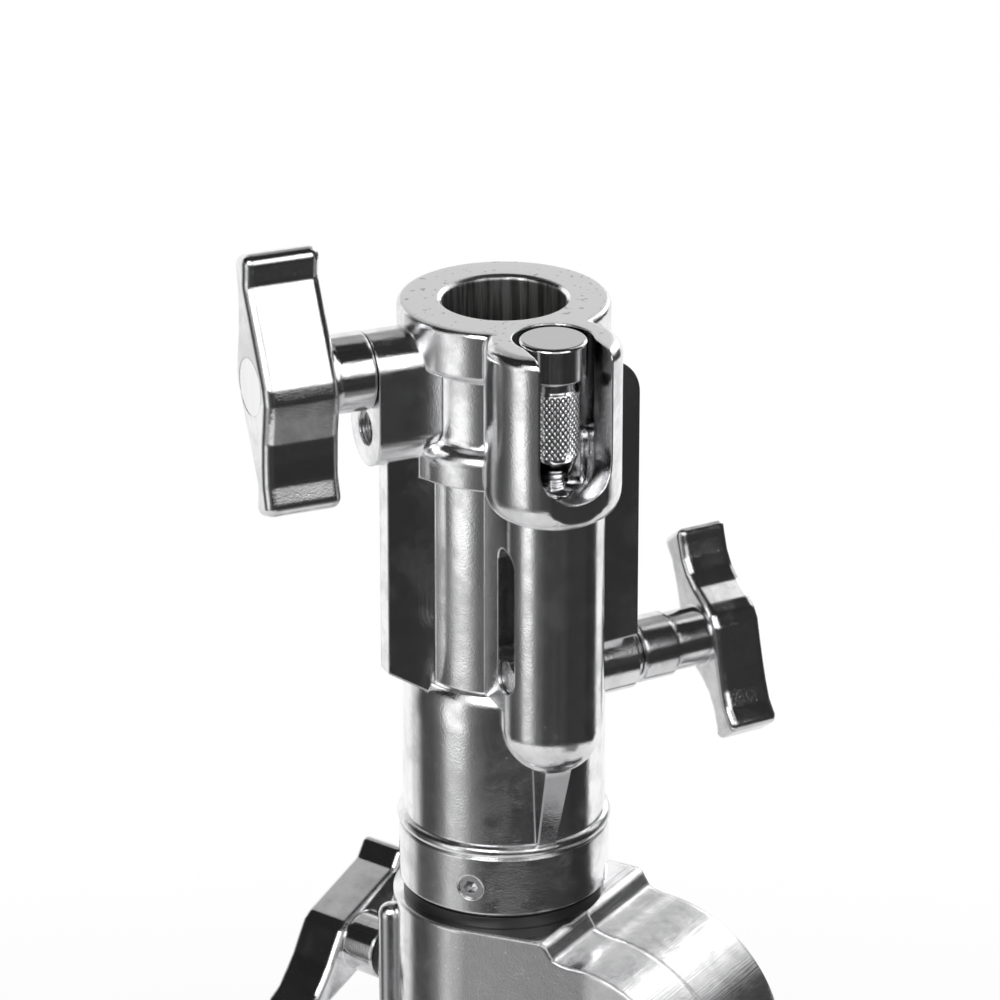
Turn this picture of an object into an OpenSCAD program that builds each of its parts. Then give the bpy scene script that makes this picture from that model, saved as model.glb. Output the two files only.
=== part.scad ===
// Wind-up light stand: a geared column raised by a crank, on three folding legs.
// The head carries a 28 mm socket and a 16 mm stud that pulls up out of its pocket.
// Millimetres, +Z up, origin on the floor under the column's axis.
// The socket clamp points to -X and the stud pocket to -Y.

/* [Stand] */
// Height of the closed stand, floor to the top of the head
closed_h = 1190; // [1170:10:1400]
// Closed height less the riser's travel: room for the head, the winch and the riser's foot
travel_loss = 410; // [410:10:690]
// Outer diameter of the column tube
column_d = 50; // [48:0.5:53]
// Wall of the column tube
column_wall = 2.5; // [2:0.25:3]
// Height of the column tube's lower end above the floor
column_foot_z = 30; // [25:1:40]
// Outer diameter of the riser tube
riser_d = 35; // [34:0.5:35.5]
// Wall of the riser tube
riser_wall = 2.5; // [2:0.25:3]

/* [Head] */
// Diameter of the socket's bore
socket_d = 28.8; // [28.6:0.1:30]
// Depth of the socket's bore
socket_depth = 78; // [70:1:82]
// Outer diameter of the ring at the top
ring_d = 49.5; // [46:0.5:52]
// Height of the top flange
top_flange_h = 12; // [10:0.5:13]
// Diameter of the casting below the flanges
core_d = 42; // [40:0.5:44]
// Distance of the stud's axis from the socket's axis
stud_offset = 28.5; // [28:0.5:31]
// Diameter of the front tube that guides the stud
guide_d = 24; // [22:0.5:26]
// Outer diameter of the housing around the stud's pocket
pocket_housing_d = 31.6; // [30:0.5:34]
// Depth of the stud's pocket
pocket_depth = 43; // [42:0.5:46]
// Depth of the pocket's lip at the front
lip_depth = 35.2; // [33:0.2:37]
// Half width of the side wings
wing_reach = 31.7; // [30:0.1:36]
// Thickness of the side wings
wing_t = 5; // [3:0.5:6]
// Diameter of the skirt round the riser
skirt_d = 48; // [46:0.5:50]
// Diameter of the collar at the foot of the skirt
collar_d = 50; // [49:0.5:53]
// Depth of the head from its top to the foot of the collar
head_h = 147.3; // [144:0.1:155]

/* [Stud] */
// Diameter of the stud's head
stud_d = 15.9; // [15.5:0.1:16]
// Diameter of the stud's knurled waist
stud_waist_d = 11.8; // [11:0.1:12.5]
// How far the stud pulls up
stud_lift = 28; // [20:1:28]

/* [Clamp handles] */
// Length of the large handle
big_handle_l = 61; // [56:0.5:66]
// Depth of the large handle along its screw
big_handle_depth = 18.5; // [17:0.5:22]
// Length of the small handles
small_handle_l = 50.5; // [48:0.5:56]
// Depth of the small handles along their screws
small_handle_depth = 13; // [11:0.5:14]
// Diameter of the clamp screws
screw_d = 10; // [9:0.5:10]
// Height of the socket clamp's screw below the top of the head
socket_clamp_drop = 12.7; // [12:0.5:14]
// Height of the head clamp's screw below the top of the head
head_clamp_drop = 97; // [95:1:101]
// Direction of the head clamp's screw, seen from above
head_clamp_angle = 7; // [0:1:12]

/* [Winch] */
// Direction of the riser lock's screw, seen from above
riser_lock_angle = 119; // [112:1:127]
// Turn of the winch about the column, seen from above
winch_turn = 36.5; // [30:0.5:40]
// Teeth of the drive pinion
pinion_teeth = 12; // [12:1:12]
// Module of the pinion and the rack
gear_module = 2; // [1.95:0.05:2.05]
// Width of the rack
rack_w = 8; // [7:0.5:9]
// Radius of the drum-shaped housing
drum_r = 33; // [32:0.5:35]
// Reach of the housing to the left of the column's axis
drum_left = 21; // [20:0.5:22]
// Reach of the housing to the right of the column's axis
drum_right = 24.3; // [24:0.1:25]
// Length of the crank from its shaft to its grip
crank_l = 150; // [120:5:170]
// Distance of the crank's arm from the column's axis
crank_reach = 84; // [84:1:100]
// Length of the crank's grip
grip_l = 100; // [80:5:120]

/* [Base] */
// Height of the legs' upper pivots
hub_z = 560; // [540:5:580]
// Distance of the pivots from the column's axis
pivot_r = 46; // [44:1:50]
// Angle between an opened leg and the column
leg_angle = 45; // [42:1:48]
// Distance along a leg from its upper pivot to its brace
brace_l = 250; // [240:5:260]
// Outer diameter of the leg tubes
leg_d = 28; // [27:0.5:29]
// Wall of the leg tubes
leg_wall = 2; // [1.5:0.25:2.5]
// Height of a leg's lower end above the floor
foot_clear = 22; // [20:1:26]
// Diameter of the rubber feet
foot_d = 46; // [42:1:54]
// Travel of the levelling leg
leveling_travel = 200; // [100:10:200]
// Depth of a brace's flat bars
brace_h = 22; // [18:1:24]

/* [Hidden] */

$fn = 64;
chrome = [0.80, 0.80, 0.81];
bright = [0.88, 0.88, 0.89];
black = [0.05, 0.05, 0.05];
steel = [0.55, 0.55, 0.56];
brass = [0.72, 0.60, 0.35];

fit = 0.05;
gap = 0.3;
eps = 0.01;
third_turn = 360 / 3;
leg_az = [270, 30, 150];

// Levels, from the floor up
ring_gap = 3.2;
winch_top_z = closed_h - head_h - ring_gap;
drum_drop = 5.1;
drum_z = winch_top_z - drum_drop - drum_r;
winch_drop = 96;
winch_foot_z = drum_z - winch_drop;
column_seat = 39;
socket_clamp_z = closed_h - socket_clamp_drop;
head_clamp_z = closed_h - head_clamp_drop;
riser_lock_z = drum_z + 9.2;
riser_top_z = closed_h - socket_depth - 10.3;
riser_travel = closed_h - travel_loss;
rack_spare = 100;
riser_tail = 40;
rack_foot_z = drum_z - riser_travel - rack_spare;
riser_foot_z = rack_foot_z - riser_tail;
rack_top_z = winch_top_z - 6;
hub_wall = 6;
leg_hub_rise = 28;
leg_hub_drop = 20;
lower_hub_z = hub_z - 2 * brace_l * cos(leg_angle);
lower_hub_rise = 14;
lower_hub_drop = 32;

// Gear values
pinion_r = pinion_teeth * gear_module / 2;
rack_line = riser_d / 2 + 1;
drum_off = pinion_r + rack_line;
gear_pitch = PI * gear_module;
pressure = 20;
backlash = 0.35;
rack_tip = rack_line + 0.7 * gear_module;
rack_root = rack_line - 1.25 * gear_module;
rack_back = rack_root - 3.5;
winch_bore_r = rack_tip + 0.5;

// Sleeve of the winch round the riser
sleeve_r = winch_bore_r + 6.1;
seam_x = -2.5;
column_r = column_d / 2;
riser_r = riser_d / 2;
screw_r = screw_d / 2;
pad_r = screw_r - 0.3;
pad_l = 5;
nose_r = 2;

// Head levels, measured down from its top
recess_top = top_flange_h + 1.5;
recess_foot = recess_top + 14.5;
lower_flange_foot = recess_foot + 11.5;
shoulder = 91;
dome_foot = 107.4;
bead_level = head_h - 16.9;
housing_r = pocket_housing_d / 2;
guide_r = guide_d / 2;
pocket_face = 14.4;
core_r = core_d / 2;
ring_r = ring_d / 2;
pocket_r = stud_d / 2 + 1.4;
rod_r = 6;
guide_pin_r = 3.7;
slot_w = 2 * guide_pin_r + 2 * gap;
slot_foot = 86;
guide_pin_drop = slot_foot - slot_w / 2;
slot_head = guide_pin_drop - stud_lift - slot_w / 2;
boss_w = 18;
boss_end = 34.5;
spare_hole_r = 4.25;
spare_hole_drop = socket_clamp_drop + 14.3;

// Legs
leg_r = leg_d / 2;
leg_l = (hub_z - foot_clear) / cos(leg_angle);
foot_r = pivot_r + leg_l * sin(leg_angle);
collar_s = leg_l - 150;
leveling_hold = 80;
pin_r = 4;
ear_t = 5;
bar_t = 4;
bar_y = leg_r + 0.6;

module clamp_frame(z, angle) {
    translate([0, 0, z]) rotate([90, 0, angle + 90]) children();
}
module in_head() { translate([0, 0, closed_h]) children(); }
module at_stud() { translate([0, -stud_offset, closed_h]) children(); }
module in_winch() { translate([0, 0, drum_z]) rotate([0, 0, winch_turn]) children(); }
module along_x(x0, x1) {
    translate([x0, 0, 0]) rotate([90, 0, 90]) linear_extrude(x1 - x0) children();
}
module rod_x(r, x0, x1) { along_x(x0, x1) circle(r); }
module on_leg(i) {
    rotate([0, 0, leg_az[i]]) translate([pivot_r, 0, hub_z]) rotate([0, -leg_angle, 0]) children();
}
module on_brace(i) {
    rotate([0, 0, leg_az[i]]) translate([pivot_r, 0, hub_z])
        translate([brace_l * sin(leg_angle), 0, -brace_l * cos(leg_angle)])
            rotate([0, leg_angle, 0]) children();
}
module cross_pin(r, half) { rotate([90, 0, 0]) cylinder(r = r, h = 2 * half, center = true); }
module hex_recess(size, depth) { cylinder(r = size / sqrt(3), h = depth, $fn = 6); }

// Handles, screws and pads of the clamps, in a frame whose +Z points out along the screw

// Half of the handle's outline: the other half is the same turned by 180 degrees
handle_base = 50.5;
handle_side = [[-17.3, 19.5], [-13.6, 13.7], [4.8, 6.5], [7.2, 4.7], [9.2, 1.4],
    [11.6, -2.8], [14, -6], [16.8, -9.3], [21.7, -12.6]];
// The head clamp's handle is bent more softly
head_handle_side = [[-9.2, 24.5], [-8, 20.5], [-6.8, 17.1], [-4.6, 13.9], [-1.5, 11.4], [3, 8.9],
    [5.6, 7], [7.4, 4.4], [8.8, -1], [10.2, -6], [11.7, -10.8], [13.2, -14.4], [16.8, -18.8]];
module handle_outline(side) {
    offset(r = 1.2, $fn = 24) offset(r = -1.2)
        polygon(concat(side, [for (p = side) -p]));
}
module clamp_handle(len, depth, neck_r, neck_l, z0, tilt, side = handle_side, flip = 0) {
    k = len / handle_base;
    cap_r = cap_radius(k);
    rotate([0, 0, tilt]) difference() {
        union() {
            translate([0, 0, z0 + neck_l]) linear_extrude(depth) mirror([flip, 0, 0]) handle_outline(side * k);
            translate([0, 0, z0]) cylinder(r = neck_r, h = neck_l);
        }
        translate([0, 0, z0 - 1]) cylinder(r = screw_r, h = neck_l + depth + 2);
        translate([0, 0, z0 + neck_l + depth - 3]) cylinder(r = cap_r, h = 4);
    }
}
module clamp_screw(tip, out, cap_r) {
    translate([0, 0, tip - 2.7]) cylinder(r = nose_r, h = 2.7 + eps);
    translate([0, 0, tip]) cylinder(r = screw_r, h = out - tip);
    translate([0, 0, out - 3]) cylinder(r = cap_r, h = 3);
}
module clamp_pad(face) {
    difference() {
        translate([0, 0, face]) cylinder(r = pad_r, h = pad_l);
        translate([0, 0, face + pad_l - 3]) cylinder(r = nose_r + fit, h = 3 + eps);
    }
}

// Seats of the clamps: where the pad presses, where the boss ends and the length of the neck
socket_seat = socket_d / 2 + gap;
socket_neck = 9.2;
head_seat = riser_r + gap;
head_boss_end = 34.6;
head_neck = 19;
lock_seat = riser_r + gap;
lock_boss_end = 32;
lock_washer_t = 3;
lock_neck = 9.3;
hub_seat = column_r + gap;
hub_boss_end = column_r + 14;
hub_neck = 8;
level_seat = leg_r - leg_wall - fit + gap;
level_boss_end = leg_r + 12;
level_neck = 8;
big_k = big_handle_l / handle_base;
small_k = small_handle_l / handle_base;
function cap_radius(k) = screw_r + 1.4 * k;
big_neck_r = 7.6 * big_k;
small_neck_r = 7.5 * small_k;
socket_tilt = -39;
head_tilt = 0;
lock_tilt = 0;
hub_tilt = -30;
level_tilt = -30;

module socket_frame() { clamp_frame(socket_clamp_z, 180) children(); }
module head_clamp_frame() { clamp_frame(head_clamp_z, head_clamp_angle) children(); }
module lock_frame() { clamp_frame(riser_lock_z, riser_lock_angle) children(); }
module hub_lock_frame() { clamp_frame(lower_hub_z - 18, leg_az[0] + 180) children(); }
module level_frame() { on_leg(0) translate([0, 0, -collar_s + 12]) rotate([90, 0, 90]) children(); }

// Head

// Housing, front tube and its domed foot, turned about the stud's axis
module guide_turned() {
    top_r = 3;
    foot = lip_depth + 6.5;
    neck = housing_r - guide_r;
    rotate_extrude() polygon(concat([[0, 0]],
        [for (a = [90:-15:0]) [housing_r - top_r + top_r * cos(a), -top_r + top_r * sin(a)]],
        [for (a = [0:15:90]) [guide_r + neck * cos(a), -foot + 1.7 * neck - 1.7 * neck * sin(a)]],
        [for (a = [0:10:90]) [guide_r * cos(a), -dome_foot + guide_r - guide_r * sin(a)]]));
}
// Pocket: a round well for the stud, open at the front through a U, with a lug on its wall
module pocket_cut() {
    well = -pocket_depth + pocket_r;
    mouth_r = 8.8;
    mouth = -lip_depth + mouth_r;
    difference() {
        union() {
            translate([0, 0, well]) sphere(r = pocket_r);
            translate([0, 0, well]) cylinder(r = pocket_r, h = 60);
        }
        rotate([0, 0, 24]) difference() {
            translate([10.4, 0, -45]) {
                cylinder(r = 3.4, h = 18);
                translate([0, 0, 18]) sphere(r = 3.4);
            }
            translate([0, 0, -60]) cylinder(r = 7.7, h = 60);
        }
    }
    translate([0, 0, mouth]) rotate([90, 0, 0]) cylinder(r = mouth_r, h = 40);
    translate([-mouth_r, -40, mouth]) cube([2 * mouth_r, 40, 60]);
}
module head_turned() {
    body = core_r;
    edge_r = 4;
    round_h = 10;
    skirt_r = skirt_d / 2;
    collar_r = collar_d / 2;
    rotate_extrude() polygon(concat(
        [[0, 0]],
        [for (a = [90:-30:0]) [ring_r - 1.5 + 1.5 * cos(a), -1.5 + 1.5 * sin(a)]],
        [[ring_r, -top_flange_h + 1], [ring_r - 1, -top_flange_h], [body, -recess_top], [body, -recess_foot]],
        [for (a = [75:-15:0]) [ring_r - edge_r + edge_r * cos(a), -recess_foot - 5.5 + edge_r * sin(a)]],
        [[ring_r, -lower_flange_foot + 1], [body, -lower_flange_foot], [body, -shoulder]],
        [for (a = [90:-15:0])
            [body + 0.2 + (skirt_r - body - 0.2) * cos(a), -shoulder - round_h + round_h * sin(a)]],
        [[skirt_r, -bead_level + 1.6]],
        [for (a = [90:-30:-90]) [collar_r - 1.2 + 1.6 * cos(a), -bead_level + 1.6 * sin(a)]],
        [[collar_r, -bead_level - 1.6], [collar_r, -head_h + 1], [collar_r - 1, -head_h], [0, -head_h]]));
}
module wings() {
    corner = 5;
    far_corner = 9;
    top = -25;
    far_top = -17;
    foot = -88;
    translate([0, -6.3, 0]) rotate([90, 0, 0]) mirror([0, 0, 1]) linear_extrude(wing_t) union() {
        polygon([[wing_reach, foot], [wing_reach, far_top - far_corner], [wing_reach - far_corner, far_top],
            [0, far_top], [0, top], [-wing_reach + corner, top], [-wing_reach, top - corner],
            [-wing_reach, foot + 1], [-core_r + 1, foot - 6.5], [core_r - 1, foot - 1]]);
        translate([-wing_reach + corner, top - corner]) circle(corner);
        translate([wing_reach - far_corner, far_top - far_corner]) circle(far_corner);
    }
}
module socket_boss() {
    drop = spare_hole_drop - socket_clamp_drop;
    clamp_frame(-socket_clamp_drop, 180) linear_extrude(boss_end) union() {
        circle(boss_w / 2);
        translate([0, -drop]) circle(boss_w / 2);
        translate([-boss_w / 2, -drop]) square([boss_w, drop]);
    }
}
module rib() {
    hull() {
        translate([-3, -stud_offset - 5, -dome_foot + 6]) cube([6.8, 20, 1]);
        translate([-2.1, -skirt_d / 2 - 1, -bead_level + 1]) cube([4.6, 10, 1]);
    }
}
module head_casting() {
    color(chrome) in_head() difference() {
        union() {
            head_turned();
            translate([0, -stud_offset, 0]) guide_turned();
            translate([-guide_r, -stud_offset, -shoulder])
                cube([2 * guide_r, stud_offset, shoulder - recess_foot]);
            wings();
            socket_boss();
            rib();
            clamp_frame(-head_clamp_drop, head_clamp_angle) {
                cylinder(r = 8.6, h = head_boss_end - 2);
                cylinder(r = 6.6, h = head_boss_end);
            }
        }
        translate([0, 0, -socket_depth]) cylinder(r = socket_d / 2, h = socket_depth + 1);
        translate([0, 0, -0.9]) cylinder(r1 = socket_d / 2, r2 = socket_d / 2 + 1, h = 1);
        translate([0, 0, -head_h - 1]) cylinder(r = riser_r + fit, h = head_h + 1 - socket_depth - 10);
        translate([0, 0, -socket_depth - 20]) cylinder(r = 6, h = 21);
        translate([0, -stud_offset, 0]) {
            pocket_cut();
            translate([0, 0, -93]) cylinder(r = rod_r + fit, h = 60);
            translate([-housing_r - 5, -housing_r - 5, -pocket_depth - 5])
                cube([2 * housing_r + 10, housing_r + 5 - pocket_face, 60]);
            for (d = [slot_head + slot_w / 2, guide_pin_drop])
                translate([0, 0, -d]) rod_x(slot_w / 2, -guide_r - 1, 0);
            translate([-guide_r - 1, -slot_w / 2, -guide_pin_drop]) cube([guide_r + 1, slot_w, stud_lift]);
        }
        clamp_frame(-socket_clamp_drop, 180) cylinder(r = screw_r + fit, h = boss_end + 1);
        clamp_frame(-spare_hole_drop, 180) translate([0, 0, socket_d / 2 + 2])
            cylinder(r = spare_hole_r, h = boss_end);
        clamp_frame(-head_clamp_drop, head_clamp_angle) cylinder(r = screw_r + fit, h = head_boss_end + 1);
        for (i = [0:2]) clamp_frame(-head_h + 7.5, collar_screw_az + i * third_turn)
            cylinder(r = collar_screw_r, h = collar_d);
    }
}
collar_screw_az = 228.5;
collar_screw_r = 3;
groove_depth = 0.8;
module grub_screw(tip, out, r, key) {
    difference() {
        union() {
            translate([0, 0, tip]) cylinder(r = 0.75 * r, h = 2);
            translate([0, 0, tip + 1]) cylinder(r = r, h = out - tip - 1);
        }
        translate([0, 0, out - 3]) hex_recess(key, 4);
    }
}
module collar_screws() {
    color(steel) in_head() for (i = [0:2]) clamp_frame(-head_h + 7.5, collar_screw_az + i * third_turn)
        grub_screw(riser_r - groove_depth + gap, collar_d / 2 - 0.5, collar_screw_r, 3);
}
module stud() {
    head_h1 = 8.6;
    head_rr = stud_d / 2;
    waist = stud_waist_d / 2;
    foot = pocket_depth - 2;
    color(bright) at_stud() rotate_extrude() polygon(concat(
        [[0, 0], [head_rr - 0.6, 0], [head_rr, -0.6], [head_rr, -head_h1],
            [waist - 0.6, -head_h1 - 0.8], [waist - 0.6, -head_h1 - 3], [waist, -head_h1 - 3.6],
            [waist, -28], [waist - 1, -30.5], [waist - 1.6, -31.5], [waist - 1.6, -33]],
        [for (a = [60:-20:-60]) [7.2 * cos(a), -foot + 3.4 + 4 * sin(a)]],
        [[rod_r, -foot], [rod_r, -92], [rod_r - 1, -92.5], [0, -92.5]]));
}
module stud_guide_pin() {
    color(steel) at_stud() translate([0, 0, -guide_pin_drop]) difference() {
        rod_x(guide_pin_r, -guide_r + 0.8, -rod_r + 0.2);
        translate([0, 0, -5]) cylinder(r = rod_r, h = 10);
    }
}

// Clamps

module socket_clamp_handle() {
    color(chrome) socket_frame()
        clamp_handle(big_handle_l, big_handle_depth, big_neck_r, socket_neck, boss_end + gap, socket_tilt);
}
module socket_clamp_screw() {
    color(bright) socket_frame() clamp_screw(socket_seat + pad_l,
        boss_end + gap + socket_neck + big_handle_depth, cap_radius(big_k));
}
module socket_clamp_pad() { color(brass) socket_frame() clamp_pad(socket_seat); }
module head_clamp_handle() {
    color(chrome) head_clamp_frame() {
        clamp_handle(small_handle_l, small_handle_depth, small_neck_r - 0.3, head_neck,
            head_boss_end + gap, head_tilt, head_handle_side, 1);
        translate([0, 0, head_boss_end + gap]) difference() {
            cylinder(r = small_neck_r + 0.4, h = head_neck / 2);
            translate([0, 0, -1]) cylinder(r = screw_r, h = head_neck);
        }
    }
}
module head_clamp_screw() {
    color(bright) head_clamp_frame() clamp_screw(head_seat + pad_l,
        head_boss_end + gap + head_neck + small_handle_depth, cap_radius(small_k));
}
module head_clamp_pad() { color(brass) head_clamp_frame() clamp_pad(head_seat); }

// Riser

module riser_tube() {
    color(chrome) difference() {
        translate([0, 0, riser_foot_z]) cylinder(r = riser_r, h = riser_top_z - riser_foot_z);
        translate([0, 0, riser_foot_z - 1])
            cylinder(r = riser_r - riser_wall, h = riser_top_z - riser_foot_z + 2);
        rotate([0, 0, winch_turn]) translate([-rack_w / 2, -riser_d, rack_foot_z])
            cube([rack_w, riser_d, rack_top_z - rack_foot_z]);
        translate([0, 0, closed_h - head_h + 7.5]) rotate_extrude() translate([riser_r - groove_depth, -3.2])
            square([5, 6.4]);
    }
}
module rack_profile() {
    tip_half = gear_pitch / 4 - backlash / 2 - gear_module * tan(pressure);
    root_half = gear_pitch / 4 - backlash / 2 + 1.25 * gear_module * tan(pressure);
    first = ceil((rack_foot_z - drum_z) / gear_pitch);
    last = floor((rack_top_z - drum_z) / gear_pitch) - 1;
    teeth = [for (k = [first:last]) let (z = (k + 0.5) * gear_pitch)
        for (p = [[-rack_root, z - root_half], [-rack_tip, z - tip_half],
            [-rack_tip, z + tip_half], [-rack_root, z + root_half]]) p];
    polygon(concat([[-rack_root, rack_foot_z - drum_z]], teeth,
        [[-rack_root, rack_top_z - drum_z], [-rack_back, rack_top_z - drum_z],
            [-rack_back, rack_foot_z - drum_z]]));
}
module riser_rack() { color(steel) in_winch() along_x(-rack_w / 2, rack_w / 2) rack_profile(); }
module riser_foot_bush() {
    color(black) translate([0, 0, riser_foot_z]) difference() {
        cylinder(r = column_r - column_wall - fit, h = 32);
        translate([0, 0, -1]) cylinder(r = riser_r, h = 40);
    }
}

// Winch

// Side of the housing: level top, a step down to the drum and a gusset below
module housing_side() {
    top = winch_top_z - drum_z;
    gusset = 215;
    union() {
        translate([-drum_off, 0]) circle(drum_r);
        polygon([[2, top], [-23.2, top], [-24.6, top - 0.8], [-26.6, top - 4], [-28.4, top - 4.7],
            [-drum_off, drum_r], [-drum_off, 0], [-drum_off + drum_r * cos(gusset), drum_r * sin(gusset)],
            [-30, -drum_r - 12], [-22, -drum_r - 22], [2, -drum_r - 30]]);
    }
}
// Plan of the housing: the sleeve's sides run on to the drum's end faces
module housing_plan() {
    face_y = drum_off + 4;
    turn = atan2(face_y, drum_left) - acos(sleeve_r / norm([drum_left, face_y]));
    circle(sleeve_r);
    polygon([[0, 0], [-sleeve_r * cos(turn), -sleeve_r * sin(turn)], [-drum_left, -face_y],
        [-drum_left, -drum_off - drum_r - 1], [drum_right, -drum_off - drum_r - 1],
        [drum_right, -sqrt(sleeve_r * sleeve_r - drum_right * drum_right)]]);
}
// Space the cover takes from the block
cover_back = 21.8;
module cover_space() {
    translate([seam_x, -drum_off - drum_r - 10, -41]) cube([60, drum_r + drum_off + 10 - cover_back, 120]);
}
shaft_r = 6;
bush_r = 9;
wall_left = 5;
wall_right = 4;
wheel_x = 7.5;
wheel_t = 4;
wheel_r = 14;
disc_t = 2;
pawl_pivot = [-5.5, 21];
pinion_w = 7;
cover_screw_r = 2;
cover_screw_places = [[-drum_off - 27, 6], [-drum_off - 20, -19], [-drum_off + 4, -27],
    [-drum_off - 2, 27.5]];
module winch_cavity() {
    translate([0, -drum_off, 0]) {
        rod_x(pinion_r + gear_module + 1.5, -pinion_w / 2 - 1, pinion_w / 2 + 1);
        rod_x(11.5, -drum_left + wall_left, 0);
        rod_x(wheel_r + 1.5, 0, drum_right - wall_right);
        rod_x(bush_r, -drum_left - 10, drum_right + 10);
        intersection() {
            rod_x(26.3, wheel_x - gap, wheel_x + wheel_t + gap);
            translate([0, pawl_pivot[0] - 13, 0]) cube([drum_right, 18, 40]);
        }
        translate([0, pawl_pivot[0], pawl_pivot[1]]) rod_x(2.5, wheel_x - 4, wheel_x + wheel_t + 3);
    }
}
module winch_block() {
    intersection() {
        translate([0, 0, -100]) linear_extrude(100 + winch_top_z - drum_z) housing_plan();
        along_x(-sleeve_r - 1, sleeve_r + 1) housing_side();
    }
}
// Round-topped lug on the sleeve beside the riser lock
lug_angle = 161;
lug_r = 3;
module lug() {
    top = winch_top_z - drum_z - 7;
    rotate([0, 0, lug_angle - winch_turn]) translate([sleeve_r + 0.7, 0, 0]) {
        translate([0, 0, top - 30]) cylinder(r = lug_r, h = 30);
        translate([0, 0, top]) sphere(r = lug_r);
        translate([0, 0, top - 30]) sphere(r = lug_r);
    }
}
module winch_body() {
    color(chrome) in_winch() difference() {
        union() {
            difference() {
                union() {
                    winch_block();
                    difference() {
                        translate([0, 0, -winch_drop])
                            cylinder(r = sleeve_r, h = winch_top_z - winch_foot_z);
                        translate([-30, -40, -20]) cube([60, 40 - 24.6, 120]);
                    }
                }
                cover_space();
            }
            translate([0, 0, -winch_drop]) cylinder(r = column_r + 5, h = 46);
            translate([0, 0, 46 - winch_drop])
                cylinder(r1 = column_r + 5, r2 = sleeve_r - 0.5, h = 8);
            lug();
            translate([0, -drum_off, 0]) rod_x(11, -drum_left - 4, -drum_left + 1);
            clamp_frame(riser_lock_z - drum_z, riser_lock_angle - winch_turn)
                cylinder(r = 9, h = lock_boss_end);
        }
        translate([0, 0, -winch_drop - 1]) cylinder(r = column_r, h = column_seat + 2);
        translate([0, 0, column_seat - winch_drop])
            cylinder(r = winch_bore_r, h = winch_top_z - winch_foot_z);
        winch_cavity();
        clamp_frame(riser_lock_z - drum_z, riser_lock_angle - winch_turn)
            cylinder(r = screw_r + fit, h = lock_boss_end + 1);
        for (p = cover_screw_places) translate([0, p[0], p[1]]) rod_x(cover_screw_r, -12, 1);
    }
}
module winch_cover() {
    color(chrome) in_winch() difference() {
        union() {
            intersection() {
                winch_block();
                cover_space();
            }
            translate([0, -drum_off, 0]) rod_x(13, drum_right, drum_right + 4);
        }
        translate([0, 0, -winch_drop]) cylinder(r = winch_bore_r, h = winch_top_z - winch_foot_z + 1);
        winch_cavity();
        for (p = cover_screw_places) translate([0, p[0], p[1]]) {
            rod_x(cover_screw_r, seam_x - 1, drum_right + 1);
            rod_x(2 * cover_screw_r, drum_right - 3, drum_right + 1);
        }
    }
}
module cover_screws() {
    color(steel) in_winch() for (p = cover_screw_places) translate([0, p[0], p[1]]) difference() {
        union() {
            rod_x(cover_screw_r, -11.5, drum_right - 3);
            rod_x(2 * cover_screw_r, drum_right - 3, drum_right - 0.2);
        }
        along_x(drum_right - 2.2, drum_right) circle(r = 1.7, $fn = 6);
    }
}
module guide_ring(z, h, flange) {
    translate([0, 0, z]) difference() {
        union() {
            cylinder(r = winch_bore_r, h = h);
            if (flange > 0) translate([0, 0, h]) cylinder(r = skirt_d / 2, h = flange);
        }
        translate([0, 0, -1]) cylinder(r = riser_r + fit, h = h + flange + 2);
        translate([-rack_w / 2 - 0.4, -rack_tip - 1, -1]) cube([rack_w + 0.8, rack_tip, h + flange + 2]);
    }
}
module riser_guide_bushes() {
    color(black) in_winch() {
        guide_ring(winch_top_z - drum_z - 14, 14, ring_gap - gap);
        guide_ring(column_seat + 1 - winch_drop, 16, 0);
    }
}
function inv_deg(t) = t * 180 / PI - atan(t);
function flank(r) = let (base = pinion_r * cos(pressure), t = sqrt(max(0, (r / base) * (r / base) - 1)))
    inv_deg(t);
module pinion_profile() {
    tip = pinion_r + gear_module;
    root = pinion_r - 1.25 * gear_module;
    base = pinion_r * cos(pressure);
    half = 90 / pinion_teeth - backlash / 2 / pinion_r * 180 / PI / 2 + flank(pinion_r);
    steps = [for (i = [0:4]) base + (tip - base) * i / 4];
    polygon([for (k = [0:pinion_teeth - 1]) let (c = k * 360 / pinion_teeth)
        for (p = concat([[root, -half]], [for (r = steps) [r, -half + flank(r)]],
            [for (i = [4:-1:0]) [steps[i], half - flank(steps[i])]], [[root, half]]))
            p[0] * [cos(c + p[1]), sin(c + p[1])]]);
}
module drive_pinion() {
    color(steel) in_winch() translate([0, -drum_off, 0]) difference() {
        union() {
            along_x(-pinion_w / 2, pinion_w / 2) pinion_profile();
            rod_x(10, -drum_left + wall_left + 0.5, -pinion_w / 2);
        }
        rod_x(shaft_r, -drum_left, 10);
    }
}
module pinion_shaft() {
    color(steel) in_winch() translate([0, -drum_off, 0]) {
        rod_x(shaft_r, -drum_left - 3, drum_right + 18);
        rod_x(4, drum_right + 18, drum_right + 25);
    }
}
module shaft_bushes() {
    color(brass) in_winch() translate([0, -drum_off, 0])
        for (x = [[-drum_left - 4, -drum_left + wall_left], [drum_right - wall_right, drum_right + 4]])
            difference() {
                rod_x(bush_r, x[0], x[1]);
                rod_x(shaft_r + fit, x[0] - 1, x[1] + 1);
            }
}
wheel_teeth = 12;
tooth_phase = 33;
module ratchet_profile() {
    polygon([for (k = [0:wheel_teeth - 1]) let (a = tooth_phase + k * 360 / wheel_teeth)
        for (p = [[wheel_r - 3, a - 29], [wheel_r, a - 6], [wheel_r, a - 1], [wheel_r - 3, a]])
            p[0] * [-cos(p[1]), sin(p[1])]]);
}
module ratchet_wheel() {
    color(steel) in_winch() translate([0, -drum_off, 0]) difference() {
        along_x(wheel_x, wheel_x + wheel_t) ratchet_profile();
        rod_x(shaft_r + fit, 0, 20);
    }
}
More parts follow.
